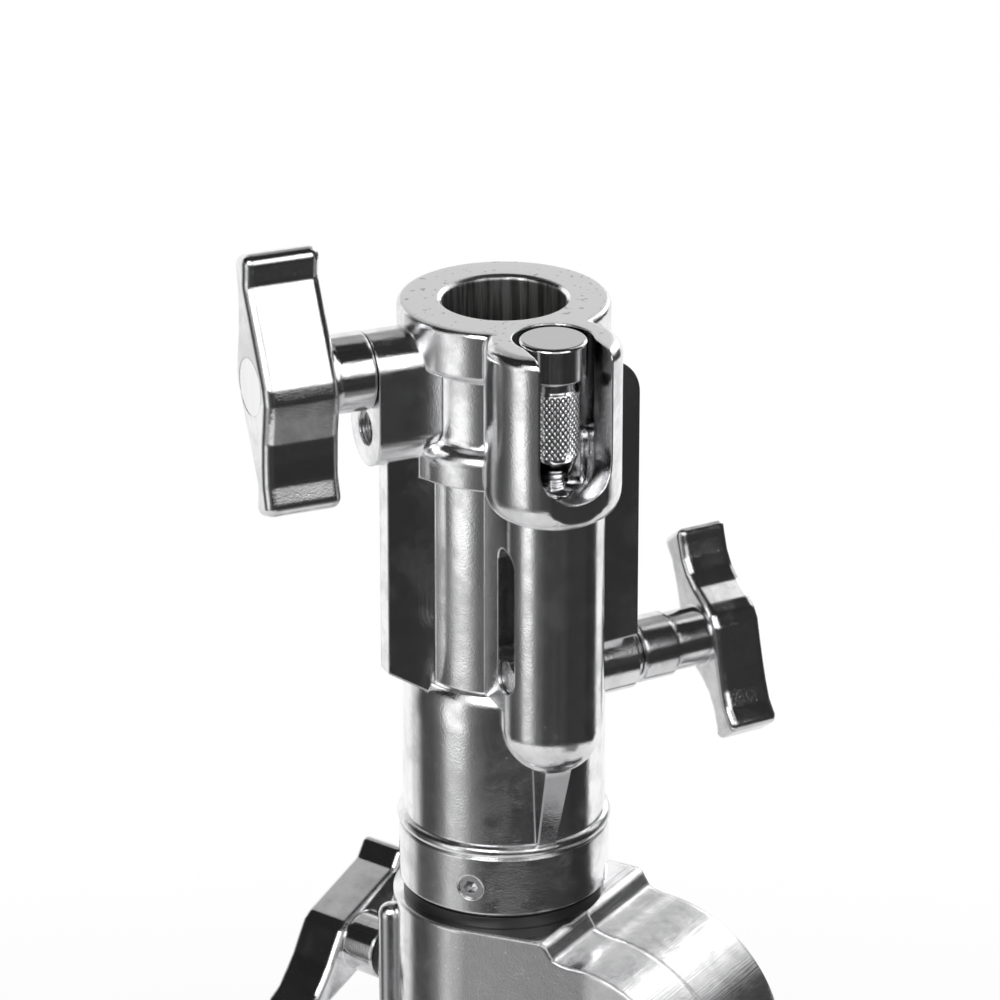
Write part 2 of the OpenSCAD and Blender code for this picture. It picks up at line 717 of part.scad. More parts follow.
module brake_discs() {
    color([0.25, 0.2, 0.16]) in_winch() translate([0, -drum_off, 0])
        for (x = [wheel_x - disc_t - gap, wheel_x + wheel_t + gap]) difference() {
            rod_x(wheel_r - 3.4, x, x + disc_t);
            rod_x(shaft_r, 0, 20);
        }
}
module pawl() {
    arm = [[-9.6, 6.6], [-12.3, 8.05], [-14.6, 11.5], [-11.5, 19], [-8, 24], [-6, 17.2],
        [-8.3, 14], [-9.2, 9.6]];
    color(steel) in_winch() translate([0, -drum_off, 0]) difference() {
        along_x(wheel_x + 0.2, wheel_x + wheel_t - 0.2) union() {
            translate(pawl_pivot) circle(4);
            polygon(arm);
        }
        translate([0, pawl_pivot[0], pawl_pivot[1]]) rod_x(2.5 + fit, 0, 20);
    }
}
module pawl_pin() {
    color(steel) in_winch() translate([0, -drum_off + pawl_pivot[0], pawl_pivot[1]])
        rod_x(2.5, wheel_x - 4, wheel_x + wheel_t + 3);
}
crank_hub_x = drum_right + 5;
arm_t = 8;
arm_w = 16;
bend = 65;
module crank_arm() {
    hx = crank_hub_x + 6;
    color(chrome) in_winch() translate([0, -drum_off, 0]) difference() {
        union() {
            rod_x(12, crank_hub_x, crank_hub_x + 12);
            translate([0, arm_w / 2, 0]) rotate([90, 0, 0]) linear_extrude(arm_w)
                polygon([[hx - 5, 4], [hx - 5, -6], [crank_reach - arm_t / 2, -bend - 2.5],
                    [crank_reach - arm_t / 2, -crank_l], [crank_reach + arm_t / 2, -crank_l],
                    [crank_reach + arm_t / 2, -bend + 2.5], [hx + 5, -2], [hx + 5, 4]]);
            translate([0, 0, -crank_l])
                rod_x(arm_w / 2 + 2, crank_reach - arm_t / 2, crank_reach + arm_t / 2);
        }
        rod_x(shaft_r, 0, crank_hub_x + 30);
        translate([0, 0, -crank_l]) rod_x(4, crank_reach - 20, crank_reach + 20);
        rod_x(9, crank_hub_x + 12, crank_hub_x + 40);
    }
}
module crank_nut() {
    color(steel) in_winch() translate([0, -drum_off, 0]) difference() {
        along_x(drum_right + 18, drum_right + 24) circle(r = 8, $fn = 6);
        rod_x(4, drum_right, drum_right + 40);
    }
}
grip_x = crank_reach + arm_t / 2 + 0.5;
module crank_grip() {
    r = 13;
    color(black) in_winch() translate([grip_x, -drum_off, -crank_l]) rotate([0, 90, 0]) difference() {
        rotate_extrude() polygon([[0, 0], [r - 2, 0], [r - 0.5, 2], [r - 1.5, 12], [r, grip_l * 0.45],
            [r - 0.5, grip_l - 12], [r + 1, grip_l - 5], [r - 1.5, grip_l], [0, grip_l]]);
        translate([0, 0, -1]) cylinder(r = 4 + fit, h = grip_l + 2);
        translate([0, 0, grip_l - 7]) cylinder(r = 8, h = 8);
    }
}
module crank_grip_bolt() {
    color(steel) in_winch() translate([0, -drum_off, -crank_l]) {
        rod_x(4, crank_reach - arm_t / 2 - 7, grip_x + grip_l - 6);
        along_x(crank_reach - arm_t / 2 - 5, crank_reach - arm_t / 2) circle(r = 7.5, $fn = 6);
        rod_x(7, grip_x + grip_l - 6.5, grip_x + grip_l - 2.5);
    }
}
module riser_lock_handle() {
    color(chrome) lock_frame() clamp_handle(small_handle_l, small_handle_depth, small_neck_r, lock_neck,
        lock_boss_end + lock_washer_t + gap, lock_tilt);
}
module riser_lock_screw() {
    color(bright) lock_frame() clamp_screw(lock_seat + pad_l,
        lock_boss_end + lock_washer_t + gap + lock_neck + small_handle_depth, cap_radius(small_k));
}
module riser_lock_pad() { color(brass) lock_frame() clamp_pad(lock_seat); }
module riser_lock_washer() {
    color(black) lock_frame() translate([0, 0, lock_boss_end]) difference() {
        cylinder(r = 7.2, h = lock_washer_t);
        translate([0, 0, -1]) cylinder(r = screw_r + fit, h = lock_washer_t + 2);
    }
}

// Column and base

module column_tube() {
    top = winch_foot_z + column_seat;
    color(chrome) translate([0, 0, column_foot_z]) difference() {
        cylinder(r = column_r, h = top - column_foot_z);
        translate([0, 0, -1]) cylinder(r = column_r - column_wall, h = top);
    }
}
module column_foot_plug() {
    color(black) translate([0, 0, column_foot_z]) {
        translate([0, 0, -6]) cylinder(r = column_r, h = 6);
        cylinder(r = column_r - column_wall, h = 16);
    }
}
// Pair of ears for a pivot pin at pivot_r, reaching in to the hub's wall
module ears(r, inner, wide) {
    for (s = [-1, 1]) translate([0, s * (wide / 2 + ear_t / 2), 0]) rotate([90, 0, 0])
        linear_extrude(ear_t, center = true) union() {
            translate([pivot_r, 0]) circle(r);
            translate([inner, -r]) square([pivot_r - inner, 2 * r]);
        }
}
module leg_hub() {
    color(chrome) difference() {
        union() {
            translate([0, 0, hub_z - leg_hub_drop])
                cylinder(r = column_r + hub_wall, h = leg_hub_drop + leg_hub_rise);
            translate([0, 0, hub_z + leg_hub_rise])
                cylinder(r1 = column_r + hub_wall, r2 = column_r + 2, h = hub_wall);
            for (i = [0:2]) rotate([0, 0, leg_az[i]]) translate([0, 0, hub_z])
                ears(12, column_r + 2, knuckle_w);
        }
        translate([0, 0, hub_z - leg_hub_drop - 1])
            cylinder(r = column_r, h = leg_hub_drop + leg_hub_rise + hub_wall + 2);
        for (i = [0:2]) rotate([0, 0, leg_az[i]]) translate([pivot_r, 0, hub_z]) cross_pin(pin_r, 30);
    }
}
module headed_pin(half) {
    cross_pin(pin_r, half + 3);
    for (s = [-1, 1]) translate([0, s * (half + 1.5), 0]) cross_pin(pin_r + 2.5, 1.5);
}
module leg_pivot_pins() {
    color(steel) for (i = [0:2]) rotate([0, 0, leg_az[i]]) translate([pivot_r, 0, hub_z])
        headed_pin(knuckle_w / 2 + ear_t);
}
knuckle_s = 34;
knuckle_w = 21;
module knuckle(i) {
    w = knuckle_w - 2 * gap;
    color(chrome) on_leg(i) difference() {
        union() {
            cross_pin(11, w / 2);
            translate([-9, -w / 2, -knuckle_s + 6]) cube([18, w, knuckle_s - 6]);
            translate([0, 0, -knuckle_s]) cylinder(r = leg_r, h = 8);
            translate([0, 0, -knuckle_s - 24]) cylinder(r = leg_r - leg_wall, h = 30);
        }
        cross_pin(pin_r + fit, 20);
    }
}
module leg_tube(i, end) {
    color(chrome) on_leg(i) difference() {
        translate([0, 0, -end]) cylinder(r = leg_r, h = end - knuckle_s);
        translate([0, 0, -end - 1]) cylinder(r = leg_r - leg_wall, h = end + 2);
        translate([0, 0, -brace_l]) cross_pin(pin_r, 30);
        if (i == 0) translate([0, 0, 12 - collar_s]) rotate([90, 0, 90])
            cylinder(r = screw_r + fit, h = leg_r + 1);
    }
}
module foot(i, inner) {
    pad_h = 14;
    color(black) difference() {
        union() {
            rotate([0, 0, leg_az[i]]) translate([foot_r, 0, 0]) {
                cylinder(r = foot_d / 2, h = 7);
                translate([0, 0, 7]) cylinder(r1 = foot_d / 2, r2 = foot_d / 2 - 6, h = pad_h - 7);
            }
            on_leg(i) {
                translate([0, 0, -leg_l - 4]) cylinder(r = inner + 4, h = 44);
                translate([0, 0, -leg_l - 4]) sphere(r = inner + 4);
            }
        }
        on_leg(i) translate([0, 0, -leg_l]) cylinder(r = inner, h = leg_l);
        translate([-2 * foot_r, -2 * foot_r, -leg_l]) cube([4 * foot_r, 4 * foot_r, leg_l]);
    }
}
module leveling_tube() {
    r = leg_r - leg_wall - fit;
    start = collar_s - leveling_travel - leveling_hold;
    color(chrome) on_leg(0) difference() {
        translate([0, 0, -leg_l]) cylinder(r = r, h = leg_l - start);
        translate([0, 0, -leg_l - 1]) cylinder(r = r - 2, h = leg_l);
    }
}
module leveling_collar() {
    color(chrome) difference() {
        on_leg(0) translate([0, 0, -collar_s]) {
            cylinder(r = leg_r + 3.5, h = 26);
            translate([0, 0, 12]) rotate([90, 0, 90]) cylinder(r = 8.5, h = level_boss_end);
        }
        on_leg(0) translate([0, 0, -collar_s - 1]) cylinder(r = leg_r, h = 40);
        level_frame() cylinder(r = screw_r + fit, h = level_boss_end + 1);
    }
}
module leveling_clamp_handle() {
    color(chrome) level_frame() clamp_handle(small_handle_l, small_handle_depth, small_neck_r, level_neck,
        level_boss_end + gap, level_tilt);
}
module leveling_clamp_screw() {
    color(bright) level_frame() clamp_screw(level_seat + pad_l,
        level_boss_end + gap + level_neck + small_handle_depth, cap_radius(small_k));
}
module leveling_clamp_pad() { color(brass) level_frame() clamp_pad(level_seat); }
module brace(i, play) {
    color(chrome) on_brace(i) difference() {
        for (s = [-1, 1]) translate([0, s * (bar_y + bar_t / 2), 0]) rotate([90, 0, 0])
            linear_extrude(bar_t, center = true) union() {
                circle(brace_h / 2);
                translate([0, -brace_l]) circle(brace_h / 2);
                translate([-brace_h / 2, -brace_l]) square([brace_h, brace_l]);
            }
        cross_pin(pin_r + fit, 30);
        translate([0, 0, -brace_l]) cross_pin(pin_r + play, 30);
    }
}
module brace_pin(i) {
    color(steel) on_leg(i) translate([0, 0, -brace_l]) headed_pin(bar_y + bar_t + gap);
}
module lower_hub() {
    clear = 0.4;
    color(chrome) difference() {
        union() {
            translate([0, 0, lower_hub_z - lower_hub_drop])
                cylinder(r = column_r + hub_wall, h = lower_hub_drop + lower_hub_rise);
            for (i = [0:2]) rotate([0, 0, leg_az[i]]) translate([0, 0, lower_hub_z]) rotate([90, 0, 0])
                linear_extrude(2 * (bar_y - gap), center = true) union() {
                    translate([pivot_r, 0]) circle(11);
                    translate([column_r + 2, -11]) square([pivot_r - column_r - 2, 22]);
                }
            hub_lock_frame() cylinder(r = 9, h = hub_boss_end);
        }
        translate([0, 0, lower_hub_z - lower_hub_drop - 1])
            cylinder(r = column_r + clear, h = lower_hub_drop + lower_hub_rise + 2);
        for (i = [0:2]) rotate([0, 0, leg_az[i]]) translate([pivot_r, 0, lower_hub_z]) cross_pin(pin_r, 30);
        hub_lock_frame() cylinder(r = screw_r + fit, h = hub_boss_end + 1);
    }
}
module lower_hub_pins() {
    color(steel) for (i = [0:2]) rotate([0, 0, leg_az[i]]) translate([pivot_r, 0, lower_hub_z])
        headed_pin(bar_y + bar_t + gap);
}
module hub_lock_handle() {
    color(chrome) hub_lock_frame() {
        clamp_handle(small_handle_l, small_handle_depth, small_neck_r, hub_neck,
            hub_boss_end + gap, hub_tilt);
        clamp_screw(hub_seat + pad_l, hub_boss_end + gap + hub_neck + small_handle_depth,
            cap_radius(small_k));
        translate([0, 0, hub_boss_end + gap])
            cylinder(r = cap_radius(small_k) + 0.4, h = hub_neck + small_handle_depth);
    }
}
module hub_lock_pad() { color(brass) hub_lock_frame() clamp_pad(hub_seat); }

head_casting();
collar_screws();
stud();
stud_guide_pin();
socket_clamp_handle();
socket_clamp_screw();
socket_clamp_pad();
head_clamp_handle();
head_clamp_screw();
head_clamp_pad();
riser_tube();
riser_rack();
riser_foot_bush();
winch_body();
winch_cover();
cover_screws();
riser_guide_bushes();
pinion_shaft();
drive_pinion();
shaft_bushes();
ratchet_wheel();
brake_discs();
pawl();
pawl_pin();
crank_arm();
crank_nut();
crank_grip();
crank_grip_bolt();
riser_lock_handle();
riser_lock_screw();
riser_lock_pad();
riser_lock_washer();
column_tube();
column_foot_plug();
leg_hub();
leg_pivot_pins();
leg_tube(0, collar_s);  // leg_a
leg_tube(1, leg_l);  // leg_b
leg_tube(2, leg_l);  // leg_c
knuckle(0);  // knuckle_a
knuckle(1);  // knuckle_b
knuckle(2);  // knuckle_c
foot(0, leg_r - leg_wall - fit);  // foot_a
foot(1, leg_r);  // foot_b
foot(2, leg_r);  // foot_c
leveling_tube();
leveling_collar();
leveling_clamp_handle();
leveling_clamp_screw();
leveling_clamp_pad();
brace(0, fit);  // brace_a
brace(1, 4 * fit);  // brace_b
brace(2, 4 * fit);  // brace_c
brace_pin(0);  // brace_pin_a
brace_pin(1);  // brace_pin_b
brace_pin(2);  // brace_pin_c
lower_hub();
lower_hub_pins();
hub_lock_handle();
hub_lock_pad();
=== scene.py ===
# Looks of the wind-up light stand: finishes, knurl, thread, floor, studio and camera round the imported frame.
# Metres, in the frame of the CAD model: the socket clamp points to -X, the stud pocket to -Y.
import math

import bmesh
import bpy
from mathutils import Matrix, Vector


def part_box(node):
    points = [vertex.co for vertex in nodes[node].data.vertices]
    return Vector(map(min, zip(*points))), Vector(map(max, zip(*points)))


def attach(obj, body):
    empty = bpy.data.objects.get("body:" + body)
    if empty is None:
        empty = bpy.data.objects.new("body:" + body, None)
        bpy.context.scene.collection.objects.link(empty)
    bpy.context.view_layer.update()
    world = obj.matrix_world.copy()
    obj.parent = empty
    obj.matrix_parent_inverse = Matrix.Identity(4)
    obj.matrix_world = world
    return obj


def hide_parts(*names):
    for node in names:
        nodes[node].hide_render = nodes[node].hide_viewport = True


MM = 0.001

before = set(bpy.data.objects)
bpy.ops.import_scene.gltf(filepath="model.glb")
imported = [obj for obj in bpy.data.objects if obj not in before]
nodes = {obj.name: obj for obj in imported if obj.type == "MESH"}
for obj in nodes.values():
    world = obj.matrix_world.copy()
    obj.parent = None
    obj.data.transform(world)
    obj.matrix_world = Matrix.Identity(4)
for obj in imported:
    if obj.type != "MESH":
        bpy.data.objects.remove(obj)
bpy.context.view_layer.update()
bpy.context.scene.view_settings.view_transform = "Standard"

# Places read from the frame, and sizes that the CAD model has too
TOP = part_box("head_casting")[1].z
STUD_Y = sum(corner.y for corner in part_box("stud")) / 2
SOCKET_R = 14.4 * MM
WING_INNER_R = 20 * MM
WING_FRONT_Y = -7 * MM
GUIDE_TOP = TOP - 42 * MM
RIB_TOP = TOP - 106 * MM
RIB_FOOT = TOP - 128.5 * MM
RIB_FRONT_Y = -24.4 * MM
RIB_HALF = 5 * MM
WINCH_TURN = math.radians(36.5)
WHITE = (1, 1, 1, 1)


# Node helpers


def add(tree, kind, inputs=None, **settings):
    """A new node with its settings and input values; a value that is a socket is linked."""
    node = tree.nodes.new(kind)
    for name, value in settings.items():
        setattr(node, name, value)
    for name, value in (inputs or {}).items():
        socket = node.inputs[name]
        if isinstance(value, bpy.types.NodeSocket):
            tree.links.new(value, socket)
        else:
            socket.default_value = value
    return node


def maths(tree, operation, *values):
    return add(tree, "ShaderNodeMath", dict(enumerate(values)), operation=operation).outputs[0]


def product(tree, *values):
    """All the values multiplied, in their order."""
    result = values[0]
    for value in values[1:]:
        result = maths(tree, "MULTIPLY", result, value)
    return result


def spread(tree, value, low, high, to_low=0.0, to_high=1.0):
    """The value's share of low to high, smoothed, as to_low to to_high."""
    inputs = {"Value": value, "From Min": low, "From Max": high, "To Min": to_low, "To Max": to_high}
    return add(tree, "ShaderNodeMapRange", inputs, interpolation_type="SMOOTHSTEP").outputs["Result"]


def noise(tree, where, scale, detail=2.0, roughness=0.5):
    inputs = {"Vector": where, "Scale": scale, "Detail": detail, "Roughness": roughness}
    return add(tree, "ShaderNodeTexNoise", inputs).outputs["Fac"]


def mix_colour(tree, share, first, second):
    node = tree.nodes.new("ShaderNodeMix")
    node.data_type = "RGBA"
    for socket, value in ((node.inputs[0], share), (node.inputs[6], first), (node.inputs[7], second)):
        if isinstance(value, bpy.types.NodeSocket):
            tree.links.new(value, socket)
        else:
            socket.default_value = value
    return node.outputs[2]


def stretched(tree, where, scale, turn=0.0):
    """Coordinates in a frame turned about Z, times scale: the features per metre along each of its axes."""
    turned = add(tree, "ShaderNodeVectorRotate", {"Vector": where, "Angle": -turn}, rotation_type="Z_AXIS")
    grown = add(tree, "ShaderNodeVectorMath", {0: turned.outputs[0], 1: scale}, operation="MULTIPLY")
    return grown.outputs[0]


def bump(tree, height, distance, below=None, strength=1.0):
    inputs = {"Height": height, "Distance": distance, "Strength": strength}
    if below is not None:
        inputs["Normal"] = below
    return add(tree, "ShaderNodeBump", inputs).outputs["Normal"]


def new_material(name, colour, metallic=0.0, roughness=0.4):
    """A material, its tree, its shader and the object coordinates."""
    material = bpy.data.materials.new(name)
    material.use_nodes = True
    tree = material.node_tree
    shader = tree.nodes["Principled BSDF"]
    shader.inputs["Base Color"].default_value = (*colour, 1)
    shader.inputs["Metallic"].default_value = metallic
    shader.inputs["Roughness"].default_value = roughness
    place = add(tree, "ShaderNodeTexCoord")
    return material, tree, shader, place


def link(tree, value, shader, name):
    tree.links.new(value, shader.inputs[name])


def round_edges(tree, radius):
    return add(tree, "ShaderNodeBevel", {"Radius": radius}, samples=6).outputs["Normal"]


# Metal finishes

CHROME = (0.87, 0.87, 0.88)


def cast_finish(tree, shader, place, colour, rough_low, rough_high, sparkle, soft_edge):
    """Plated casting: cloudy patches, a pebbled skin and fine pits under the plate.
    Noise scales are features per metre; sparkle and soft_edge are millimetres."""
    cloud_scale, patch_scale, grain_scale, pit_scale, ripple_scale = 55, 160, 1900, 1000, 170
    stain = 0.76
    pit_depth, ripple_depth = 0.02 * MM, 0.05 * MM
    where = place.outputs["Object"]
    cloud = noise(tree, where, cloud_scale, 5, 0.62)
    patch = noise(tree, where, patch_scale, 3, 0.6)
    clouds = maths(tree, "ADD", product(tree, cloud, 0.65), product(tree, patch, 0.35))
    worn = spread(tree, clouds, 0.38, 0.62)
    dark = tuple(c * stain for c in colour)
    link(tree, mix_colour(tree, worn, (*dark, 1), (*colour, 1)), shader, "Base Color")
    link(tree, spread(tree, worn, 0, 1, rough_high, rough_low), shader, "Roughness")
    grain = noise(tree, where, grain_scale, 2, 0.7)
    pits = spread(tree, noise(tree, where, pit_scale, 1), 0.7, 0.78)
    skin = bump(tree, grain, sparkle * MM, round_edges(tree, soft_edge * MM))
    ripple = bump(tree, noise(tree, where, ripple_scale, 1), ripple_depth, skin, 0.6)
    return bump(tree, maths(tree, "SUBTRACT", 1.0, pits), pit_depth, ripple, 0.4)


def cast_chrome(name, rough, soft_edge):
    material, tree, shader, place = new_material(name, CHROME, 1.0, rough[0])
    link(tree, cast_finish(tree, shader, place, CHROME, *rough, 0.018, soft_edge), shader, "Normal")
    return material


def head_masks(tree, place):
    """Where the head's own finishes and its painted shade lie, 0 or 1: machined top face, bore of the socket,
    wings and rib; the bore and the rib get a darker colour as painted shade.
    """
    split = add(tree, "ShaderNodeSeparateXYZ", {0: place.outputs["Object"]})
    facing = add(tree, "ShaderNodeSeparateXYZ", {0: place.outputs["Normal"]})
    x, y, z = (split.outputs[axis] for axis in "XYZ")
    flat = add(tree, "ShaderNodeCombineXYZ", {0: x, 1: y})
    radius = add(tree, "ShaderNodeVectorMath", {0: flat.outputs[0]}, operation="LENGTH").outputs["Value"]
    level = spread(tree, z, TOP - 1.4 * MM, TOP - 0.3 * MM)
    machined = product(tree, level, spread(tree, facing.outputs["Z"], 0.9, 0.98))
    in_bore = maths(tree, "LESS_THAN", radius, SOCKET_R + 0.15 * MM)
    behind = maths(tree, "GREATER_THAN", y, WING_FRONT_Y)
    outside = maths(tree, "GREATER_THAN", radius, WING_INNER_R)
    square_on = spread(tree, maths(tree, "ABSOLUTE", facing.outputs["Y"]), 0.97, 0.995)
    wing = product(tree, square_on, product(tree, behind, outside))
    # Mask of the rib, which is coloured darker as painted shade
    beside = maths(tree, "LESS_THAN", maths(tree, "ABSOLUTE", x), RIB_HALF)
    proud = maths(tree, "LESS_THAN", y, RIB_FRONT_Y)
    below = spread(tree, z, RIB_TOP, RIB_TOP - 3 * MM)
    above = maths(tree, "GREATER_THAN", z, RIB_FOOT)
    rib = product(tree, product(tree, beside, proud), product(tree, below, above))
    return machined, in_bore, wing, rib


def head_chrome():
    """The head: cast skin, a machined grey top face, a bore coloured darker as painted shade with pale
    streaks, drawn flat wings and a rib coloured darker as painted shade.
    """
    machined_rough, bore_rough = 0.42, 0.32
    material, tree, shader, place = new_material("head_chrome", CHROME, 1.0)
    skin = cast_finish(tree, shader, place, (0.93, 0.93, 0.94), 0.1, 0.21, 0.026, 0.8)
    machined, in_bore, wing, rib = head_masks(tree, place)
    where = place.outputs["Object"]
    plated = shader.inputs["Base Color"].links[0].from_socket
    speck = spread(tree, noise(tree, where, 620, 2), 0.62, 0.7)
    face = mix_colour(tree, speck, (0.82, 0.82, 0.82, 1), (0.5, 0.5, 0.5, 1))
    colour = mix_colour(tree, machined, plated, face)
    # Painted shade in the socket's bore: its colour is darker than the plate, streaked from dark to pale along
    # its length
    streak = spread(tree, noise(tree, stretched(tree, where, (420, 420, 18)), 1.0, 4, 0.7), 0.42, 0.62)
    bore = mix_colour(tree, streak, (0.3, 0.3, 0.3, 1), (0.85, 0.85, 0.85, 1))
    colour = mix_colour(tree, in_bore, colour, bore)
    colour = mix_colour(tree, wing, colour, (0.72, 0.72, 0.72, 1))
    # Painted shade: the rib is coloured dark grey
    colour = mix_colour(tree, rib, colour, (0.42, 0.42, 0.43, 1))
    link(tree, colour, shader, "Base Color")
    smooth = shader.inputs["Roughness"].links[0].from_socket
    rough = maths(tree, "MAXIMUM", smooth, product(tree, machined, machined_rough))
    rough = maths(tree, "MAXIMUM", rough, product(tree, in_bore, bore_rough))
    link(tree, rough, shader, "Roughness")
    drawn = noise(tree, stretched(tree, where, (2600, 2600, 60)), 1.0, 3, 0.6)
    lines = product(tree, drawn, maths(tree, "MAXIMUM", wing, in_bore))
    link(tree, bump(tree, lines, 0.02 * MM, skin, 0.7), shader, "Normal")
    return material


def winch_chrome():
    """The winch: cast sides and a drum brushed along its axis."""
    drum_rough = 0.2
    material, tree, shader, place = new_material("winch_chrome", CHROME, 1.0)
    skin = cast_finish(tree, shader, place, (0.92, 0.92, 0.93), 0.07, 0.18, 0.022, 1.5)
    turned = add(tree, "ShaderNodeVectorRotate", {"Vector": place.outputs["Normal"], "Angle": -WINCH_TURN},
                 rotation_type="Z_AXIS")
    facing = add(tree, "ShaderNodeSeparateXYZ", {0: turned.outputs[0]})
    side = spread(tree, maths(tree, "ABSOLUTE", facing.outputs["X"]), 0.2, 0.5, 1.0, 0)
    around = spread(tree, facing.outputs["Y"], -0.05, -0.2)
    drum = product(tree, side, around)
    where = place.outputs["Object"]
    streak = noise(tree, stretched(tree, where, (45, 2600, 2600), WINCH_TURN), 1.0, 3, 0.65)
    link(tree, bump(tree, product(tree, streak, drum), 0.06 * MM, skin, 0.9), shader, "Normal")
    smooth = shader.inputs["Roughness"].links[0].from_socket
    link(tree, maths(tree, "MAXIMUM", smooth, product(tree, drum, drum_rough)), shader, "Roughness")
    return material


def drawn_chrome(name, rough, soft_edge):
    """Plated tube or bar: nearly a mirror, with faint wipe marks."""
    material, tree, shader, place = new_material(name, CHROME, 1.0, rough)
    where = place.outputs["Object"]
    wipe = noise(tree, stretched(tree, where, (30, 30, 5)), 1.0, 4, 0.6)
    link(tree, spread(tree, wipe, 0.35, 0.7, rough, rough + 0.09), shader, "Roughness")
    wiped = mix_colour(tree, spread(tree, wipe, 0.5, 0.75), (0.88, 0.88, 0.89, 1), (0.78, 0.78, 0.79, 1))
    link(tree, wiped, shader, "Base Color")
    skin = bump(tree, noise(tree, where, 900, 2), 0.004 * MM, round_edges(tree, soft_edge * MM))
    link(tree, skin, shader, "Normal")
    return material


def stud_chrome():
    """The stud: a dull grey top, bright sides, and the rod within the guide tube coloured near black as
    painted shade.
    """
    material, tree, shader, place = new_material("stud_chrome", (0.8, 0.8, 0.81), 1.0, 0.06)
    where = place.outputs["Object"]
    split = add(tree, "ShaderNodeSeparateXYZ", {0: where})
    top = spread(tree, split.outputs["Z"], TOP - 0.25 * MM, TOP - 0.05 * MM)
    # Painted shade: below the top of the guide tube the rod is coloured near black
    tube_shade = spread(tree, split.outputs["Z"], GUIDE_TOP, GUIDE_TOP - 4 * MM)
    wipe = noise(tree, where, 300, 4, 0.6)
    plated = mix_colour(tree, spread(tree, wipe, 0.4, 0.7), (0.8, 0.8, 0.81, 1), (0.66, 0.66, 0.67, 1))
    colour = mix_colour(tree, top, plated, (0.46, 0.46, 0.46, 1))
    link(tree, mix_colour(tree, tube_shade, colour, (0.1, 0.1, 0.1, 1)), shader, "Base Color")
    link(tree, spread(tree, wipe, 0.35, 0.7, 0.05, 0.14), shader, "Roughness")
    lathe = noise(tree, stretched(tree, where, (60, 60, 5200)), 1.0, 2)
    link(tree, bump(tree, lathe, 0.006 * MM, round_edges(tree, 0.4 * MM), 0.6), shader, "Normal")
    return material


def turned_metal(name, colour, rough):
    """Machined steel or brass with fine tool marks."""
    material, tree, shader, place = new_material(name, colour, 1.0, rough)
    where = place.outputs["Object"]
    patch = noise(tree, where, 220, 4, 0.6)
    link(tree, spread(tree, patch, 0.35, 0.65, rough, rough + 0.15), shader, "Roughness")
    dark = tuple(c * 0.72 for c in colour)
    patched = mix_colour(tree, spread(tree, patch, 0.4, 0.7), (*colour, 1), (*dark, 1))
    link(tree, patched, shader, "Base Color")
    marks = noise(tree, stretched(tree, where, (400, 400, 4200)), 1.0, 2)
    link(tree, bump(tree, marks, 0.01 * MM, round_edges(tree, 0.3 * MM), 0.6), shader, "Normal")
    return material


# Other finishes


def moulded(name, colour, rough, scale, depth):
    """Moulded plastic, nylon, rubber or lining with a fine texture and scuffed patches."""
    soft_edge = 0.6
    material, tree, shader, place = new_material(name, colour, 0.0, rough)
    where = place.outputs["Object"]
    scuff = spread(tree, noise(tree, where, 90, 5, 0.65), 0.55, 0.75)
    pale = tuple(c + 0.035 for c in colour)
    link(tree, mix_colour(tree, scuff, (*colour, 1), (*pale, 1)), shader, "Base Color")
    link(tree, spread(tree, scuff, 0, 1, rough, min(1.0, rough + 0.2)), shader, "Roughness")
    grain = noise(tree, where, scale, 3, 0.6)
    link(tree, bump(tree, grain, depth * MM, round_edges(tree, soft_edge * MM), 0.7), shader, "Normal")
    return material


# Pieces


def tube_piece(name, rows, around, radius, inner, length, frame_of, body, material):
    """A closed tube. One wall follows radius(turn, along), and the other is plain, of radius inner."""
    verts, faces = [], []
    for wall in (0, 1):
        for i in range(rows + 1):
            along = length * i / rows
            for k in range(around):
                turn = 2 * math.pi * k / around
                r = radius(turn, along) if wall == 0 else inner
                verts.append(frame_of(r * math.cos(turn), r * math.sin(turn), along))
    layer = (rows + 1) * around
    for i in range(rows):
        for k in range(around):
            a, b = i * around + k, i * around + (k + 1) % around
            faces.append((a, b, b + around, a + around))
            faces.append((layer + a, layer + a + around, layer + b + around, layer + b))
    for k in range(around):
        b = (k + 1) % around
        last = rows * around
        faces.append((k, layer + k, layer + b, b))
        faces.append((last + k, last + b, layer + last + b, layer + last + k))
    mesh = bpy.data.meshes.new(name)
    mesh.from_pydata(verts, [], faces)
    mesh.validate()
    mesh.update()
    piece = bpy.data.objects.new(name, mesh)
    bpy.context.scene.collection.objects.link(piece)
    mesh.materials.append(material)
    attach(piece, body)


def knurled_sleeve(material):
    """Diamond knurl round the stud's waist; foot and head are measured from the top face."""
    waist_r = 5.78 * MM
    crest = 0.38 * MM
    run_out = 0.6 * MM
    foot, head = -28.2 * MM, -12.1 * MM
    starts = 28
    lead = starts * 1.75 * MM

    def height(turn, along):
        up = starts * turn / (2 * math.pi)
        across = starts * along / lead
        ridges = [abs(((up + s * across) % 1) * 2 - 1) for s in (-1, 1)]
        fade = min(1, along / run_out, (head - foot - along) / run_out)
        return waist_r + crest * fade * (1 - max(ridges) ** 1.2)

    def place(x, y, along):
        return (x, y + STUD_Y, TOP + foot + along)

    tube_piece("stud_knurl", 110, starts * 10, height, waist_r - 0.5 * MM, head - foot, place,
               "stud", material)


def accessory_thread(material):
    """Thread in the spare hole under the socket clamp."""
    hole_r = 4.25 * MM
    depth = 0.62 * MM
    pitch = 1.5 * MM
    length = 16.5 * MM
    mouth = -33.5 * MM
    level = TOP - 27 * MM

    def height(turn, along):
        wave = abs(((along / pitch - turn / (2 * math.pi)) % 1) * 2 - 1)
        return hole_r - depth * min(1, wave * 1.25)

    def place(x, y, along):
        return (mouth + along, x, level + y)

    tube_piece("accessory_thread", 120, 48, height, hole_r + 0.25 * MM, length, place,
               "head", material)


